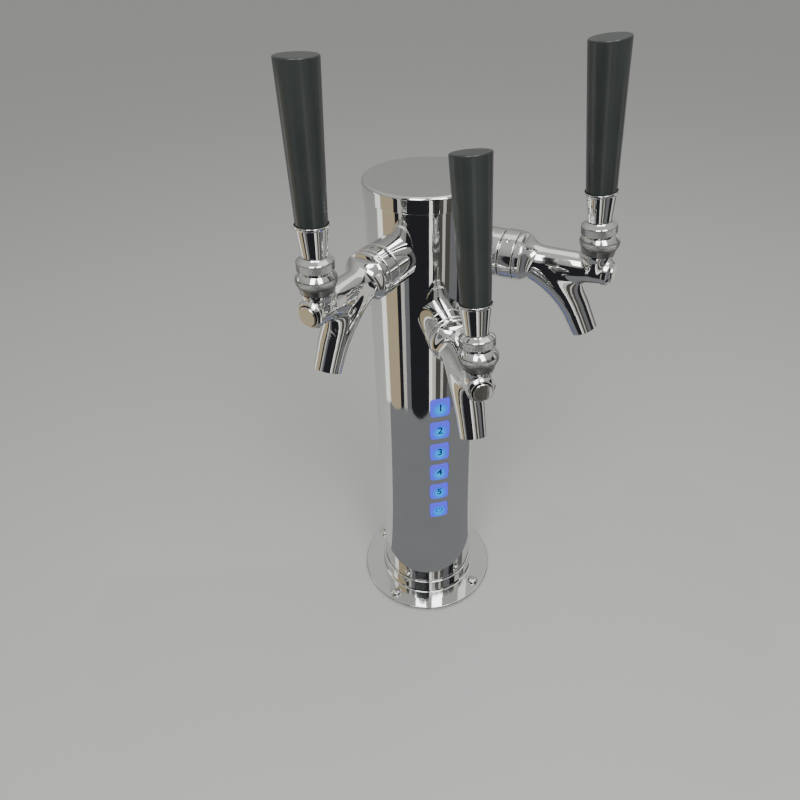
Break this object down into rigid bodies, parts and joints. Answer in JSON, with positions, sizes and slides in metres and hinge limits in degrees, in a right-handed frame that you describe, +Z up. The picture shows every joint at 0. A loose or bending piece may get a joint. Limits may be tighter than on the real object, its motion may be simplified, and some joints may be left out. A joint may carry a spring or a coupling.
{
  "type": "draft beer tower",
  "caption": "Chrome draft beer tower: a round column on a screwed flange, lever faucets round its front and lit push keys down its face.",
  "frame": {"origin": "on the counter, at the middle of the tower's footprint; the column's axis stands 41 mm behind it", "axes": "+Z up the column, -Y out along the front faucet, +X to the right of someone facing the keys"},
  "size_m": [0.2438, 0.2344, 0.5868],
  "materials": {
    "chrome": "mirror polished plating",
    "brass": "machined",
    "black_plastic": "semi-gloss moulded",
    "rubber": "matte",
    "key_plastic": "translucent, lit from behind",
    "board": "solder mask",
    "bracket": "mill"
  },
  "bodies": {
    "tower": {"column_tube": "chrome", "base_flange": "chrome", "base_gasket": "rubber", "mounting_screw_1": "chrome", "mounting_screw_2": "chrome", "mounting_screw_3": "chrome", "mounting_screw_4": "chrome", "key_board": "board", "key_bracket": "bracket", "cable_socket": "black_plastic", "left_shank": "chrome", "left_shank_collar": "chrome", "left_shank_nut": "brass", "left_tailpiece": "brass", "left_coupling_nut": "chrome", "left_coupling_washer": "rubber", "left_faucet_body": "chrome", "left_bonnet": "chrome", "front_shank": "chrome", "front_shank_collar": "chrome", "front_shank_nut": "brass", "front_tailpiece": "brass", "front_coupling_nut": "chrome", "front_coupling_washer": "rubber", "front_faucet_body": "chrome", "front_bonnet": "chrome", "right_shank": "chrome", "right_shank_collar": "chrome", "right_shank_nut": "brass", "right_tailpiece": "brass", "right_coupling_nut": "chrome", "right_coupling_washer": "rubber", "right_faucet_body": "chrome", "right_bonnet": "chrome"},
    "cap": {"top_cap": "chrome", "cap_seal": "rubber"},
    "left_lever_arm": {"left_lever": "chrome", "left_lock_ring": "chrome", "left_ferrule": "chrome", "left_handle_grip": "black_plastic"},
    "left_valve": {"left_valve_shaft": "chrome", "left_seat_washer": "rubber"},
    "front_lever_arm": {"front_lever": "chrome", "front_lock_ring": "chrome", "front_ferrule": "chrome", "front_handle_grip": "black_plastic"},
    "front_valve": {"front_valve_shaft": "chrome", "front_seat_washer": "rubber"},
    "right_lever_arm": {"right_lever": "chrome", "right_lock_ring": "chrome", "right_ferrule": "chrome", "right_handle_grip": "black_plastic"},
    "right_valve": {"right_valve_shaft": "chrome", "right_seat_washer": "rubber"},
    "key_1": {"key_1": "key_plastic"},
    "key_2": {"key_2": "key_plastic"},
    "key_3": {"key_3": "key_plastic"},
    "key_4": {"key_4": "key_plastic"},
    "key_5": {"key_5": "key_plastic"},
    "key_6": {"key_6": "key_plastic"}
  },
  "joints": [
    {"name": "left_lever_tilt", "type": "hinge", "parent": "tower", "child": "left_lever_arm", "pos_m": [-0.10622, -0.05871, 0.4453], "axis": [0.6947, -0.7193, 0], "range_deg": [0, 25]},
    {"name": "left_valve_slide", "type": "slide", "parent": "tower", "child": "left_valve", "axis": [0.7193, 0.6947, 0], "range_m": [0, 0.0069]},
    {"name": "front_lever_tilt", "type": "hinge", "parent": "tower", "child": "front_lever_arm", "pos_m": [-0.00307, -0.1025, 0.393], "axis": [1, 0, 0], "range_deg": [0, 32]},
    {"name": "front_valve_slide", "type": "slide", "parent": "tower", "child": "front_valve", "axis": [0, 1, 0], "range_m": [0, 0.0088]},
    {"name": "right_lever_tilt", "type": "hinge", "parent": "tower", "child": "right_lever_arm", "pos_m": [0.10598, -0.05223, 0.4432], "axis": [0.6494, 0.7604, 0], "range_deg": [0, 28.5]},
    {"name": "right_valve_slide", "type": "slide", "parent": "tower", "child": "right_valve", "axis": [-0.7604, 0.6494, 0], "range_m": [0, 0.0078]},
    {"name": "cap_lift", "type": "slide", "parent": "tower", "child": "cap", "axis": [0, 0, 1], "range_m": [0, 0.05]},
    {"name": "key_1_press", "type": "slide", "parent": "tower", "child": "key_1", "axis": [0, 1, 0], "range_m": [0, 0.001], "stiffness_N_per_m": 300},
    {"name": "key_2_press", "type": "slide", "parent": "tower", "child": "key_2", "axis": [0, 1, 0], "range_m": [0, 0.001], "stiffness_N_per_m": 300},
    {"name": "key_3_press", "type": "slide", "parent": "tower", "child": "key_3", "axis": [0, 1, 0], "range_m": [0, 0.001], "stiffness_N_per_m": 300},
    {"name": "key_4_press", "type": "slide", "parent": "tower", "child": "key_4", "axis": [0, 1, 0], "range_m": [0, 0.001], "stiffness_N_per_m": 300},
    {"name": "key_5_press", "type": "slide", "parent": "tower", "child": "key_5", "axis": [0, 1, 0], "range_m": [0, 0.001], "stiffness_N_per_m": 300},
    {"name": "key_6_press", "type": "slide", "parent": "tower", "child": "key_6", "axis": [0, 1, 0], "range_m": [0, 0.001], "stiffness_N_per_m": 300}
  ],
  "couplings": [
    {"joint": "left_valve_slide", "follows": "left_lever_tilt", "m_per_rad": 0.0156},
    {"joint": "front_valve_slide", "follows": "front_lever_tilt", "m_per_rad": 0.0156},
    {"joint": "right_valve_slide", "follows": "right_lever_tilt", "m_per_rad": 0.0156}
  ]
}
